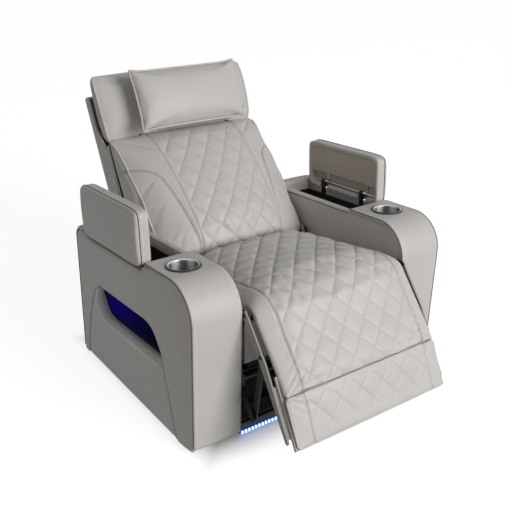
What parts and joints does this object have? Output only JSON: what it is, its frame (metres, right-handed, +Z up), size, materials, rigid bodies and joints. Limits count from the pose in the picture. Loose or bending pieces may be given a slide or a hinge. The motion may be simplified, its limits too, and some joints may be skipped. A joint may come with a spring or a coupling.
{
  "type": "power recliner chair",
  "caption": "Leather power recliner with quilted seat, lifting legrest, tilting headrest, storage arms with hinged lids, steel cup holders and lit side pockets.",
  "frame": {"origin": "on the floor under the middle of the chair as pictured", "axes": "+Z up, the sitter faces -Y, +X to the sitter's left"},
  "size_m": [0.95, 1.188, 0.9097],
  "materials": {
    "leather_arm": "satin",
    "leather_seat": "satin",
    "lid_panel": "matte",
    "bin_plastic": "matte",
    "cup_steel": "satin",
    "pocket_liner": "matte",
    "light_blue": "gloss",
    "light_white": "gloss",
    "hinge_black": "satin",
    "hinge_steel": "polished",
    "frame_wood": "matte",
    "frame_steel": "satin",
    "spring_steel": "satin",
    "glide_plastic": "matte",
    "drive_plastic": "matte",
    "control_plastic": "gloss",
    "button_metal": "satin"
  },
  "bodies": {
    "base": {"arm_frame_left": "frame_wood", "arm_frame_right": "frame_wood", "arm_inner_cover_left": "leather_arm", "arm_inner_cover_right": "leather_arm", "arm_outer_cover_left": "leather_arm", "arm_outer_cover_right": "leather_arm", "arm_pocket_panel_left": "leather_arm", "arm_pocket_panel_right": "leather_arm", "arm_front_cover_left": "leather_arm", "arm_front_cover_right": "leather_arm", "arm_rear_cover_left": "leather_arm", "arm_rear_cover_right": "leather_arm", "storage_bin_left": "bin_plastic", "storage_bin_right": "bin_plastic", "cup_holder_left": "cup_steel", "cup_holder_right": "cup_steel", "pocket_liner_left": "pocket_liner", "pocket_liner_right": "pocket_liner", "pocket_lights": "light_blue", "lid_hinge_leaves": "hinge_black", "floor_glides": "glide_plastic", "toe_rail": "frame_steel", "toe_light": "light_white", "cross_tubes": "frame_steel", "base_rails": "frame_steel", "mechanism_plates": "frame_steel", "seat_frame": "frame_wood", "seat_springs": "spring_steel", "seat_cushion": "leather_seat", "seat_front_panel": "leather_seat", "footrest_actuator": "drive_plastic", "recline_actuator": "drive_plastic", "power_supply": "drive_plastic", "control_panel": "control_plastic"},
    "lid_left": {"lid_pad_left": "leather_arm", "lid_board_left": "lid_panel", "lid_hinge_left": "hinge_steel"},
    "lid_right": {"lid_pad_right": "leather_arm", "lid_board_right": "lid_panel", "lid_hinge_right": "hinge_steel"},
    "backrest": {"back_brackets": "frame_steel", "back_frame": "frame_wood", "back_shell": "leather_arm", "back_cushion": "leather_seat", "headrest_hinge_arms": "frame_steel"},
    "headrest": {"headrest_hinge_straps": "frame_steel", "headrest_cushion": "leather_seat", "head_pillow": "leather_seat"},
    "legrest": {"legrest_pad": "leather_seat", "foot_panel": "leather_seat", "legrest_board": "frame_wood", "legrest_arms": "frame_steel"},
    "swing_arms": {"swing_arms": "frame_steel"},
    "couplers": {"coupler_links": "frame_steel"},
    "footrest_carriage": {"footrest_carriage": "drive_plastic"},
    "recline_carriage": {"recline_carriage": "drive_plastic"},
    "button_recline": {"button_recline": "button_metal"},
    "button_upright": {"button_upright": "button_metal"},
    "button_headrest": {"button_headrest": "button_metal"},
    "button_light": {"button_light": "button_metal"}
  },
  "joints": [
    {"name": "lid_left_hinge", "type": "hinge", "parent": "base", "child": "lid_left", "pos_m": [0.444, 0.08, 0.49023], "axis": [0, 0.9976, -0.0698], "range_deg": [-90, 0]},
    {"name": "lid_right_hinge", "type": "hinge", "parent": "base", "child": "lid_right", "pos_m": [-0.444, 0.08, 0.49023], "axis": [0, -0.9976, 0.0698], "range_deg": [-90, 0]},
    {"name": "back_recline", "type": "hinge", "parent": "base", "child": "backrest", "pos_m": [0, 0.115, 0.345], "axis": [-1, 0, 0], "range_deg": [-12, 32]},
    {"name": "headrest_tilt", "type": "hinge", "parent": "backrest", "child": "headrest", "pos_m": [0, 0.42767, 0.68076], "axis": [1, 0, 0], "range_deg": [-8, 15]},
    {"name": "legrest_lift", "type": "hinge", "parent": "base", "child": "legrest", "pos_m": [0, -0.362, 0.4], "axis": [-1, 0, 0], "range_deg": [-27, 55]},
    {"name": "swing_arm_pivot", "type": "hinge", "parent": "base", "child": "swing_arms", "pos_m": [0, -0.332, 0.185], "axis": [-1, 0, 0], "range_deg": [-27, 55]},
    {"name": "coupler_pivot", "type": "hinge", "parent": "swing_arms", "child": "couplers", "pos_m": [0, -0.40711, 0.09141], "axis": [-1, 0, 0], "range_deg": [-55, 27]},
    {"name": "footrest_drive", "type": "slide", "parent": "base", "child": "footrest_carriage", "axis": [0, -1, 0], "range_m": [-0.0196, 0.0398]},
    {"name": "recline_drive", "type": "slide", "parent": "base", "child": "recline_carriage", "axis": [0, -1, 0], "range_m": [-0.0225, 0.0598]},
    {"name": "button_recline_press", "type": "slide", "parent": "base", "child": "button_recline", "axis": [-1, 0, 0], "range_m": [0, 0.0012], "stiffness_N_per_m": 800},
    {"name": "button_upright_press", "type": "slide", "parent": "base", "child": "button_upright", "axis": [-1, 0, 0], "range_m": [0, 0.0012], "stiffness_N_per_m": 800},
    {"name": "button_headrest_press", "type": "slide", "parent": "base", "child": "button_headrest", "axis": [-1, 0, 0], "range_m": [0, 0.0012], "stiffness_N_per_m": 800},
    {"name": "button_light_press", "type": "slide", "parent": "base", "child": "button_light", "axis": [-1, 0, 0], "range_m": [0, 0.0012], "stiffness_N_per_m": 800}
  ],
  "couplings": [
    {"joint": "swing_arm_pivot", "follows": "legrest_lift", "ratio": 1},
    {"joint": "coupler_pivot", "follows": "legrest_lift", "ratio": -1},
    {"joint": "footrest_drive", "follows": "legrest_lift", "m_per_rad": 0.0413},
    {"joint": "recline_drive", "follows": "back_recline", "m_per_rad": 0.1067}
  ]
}
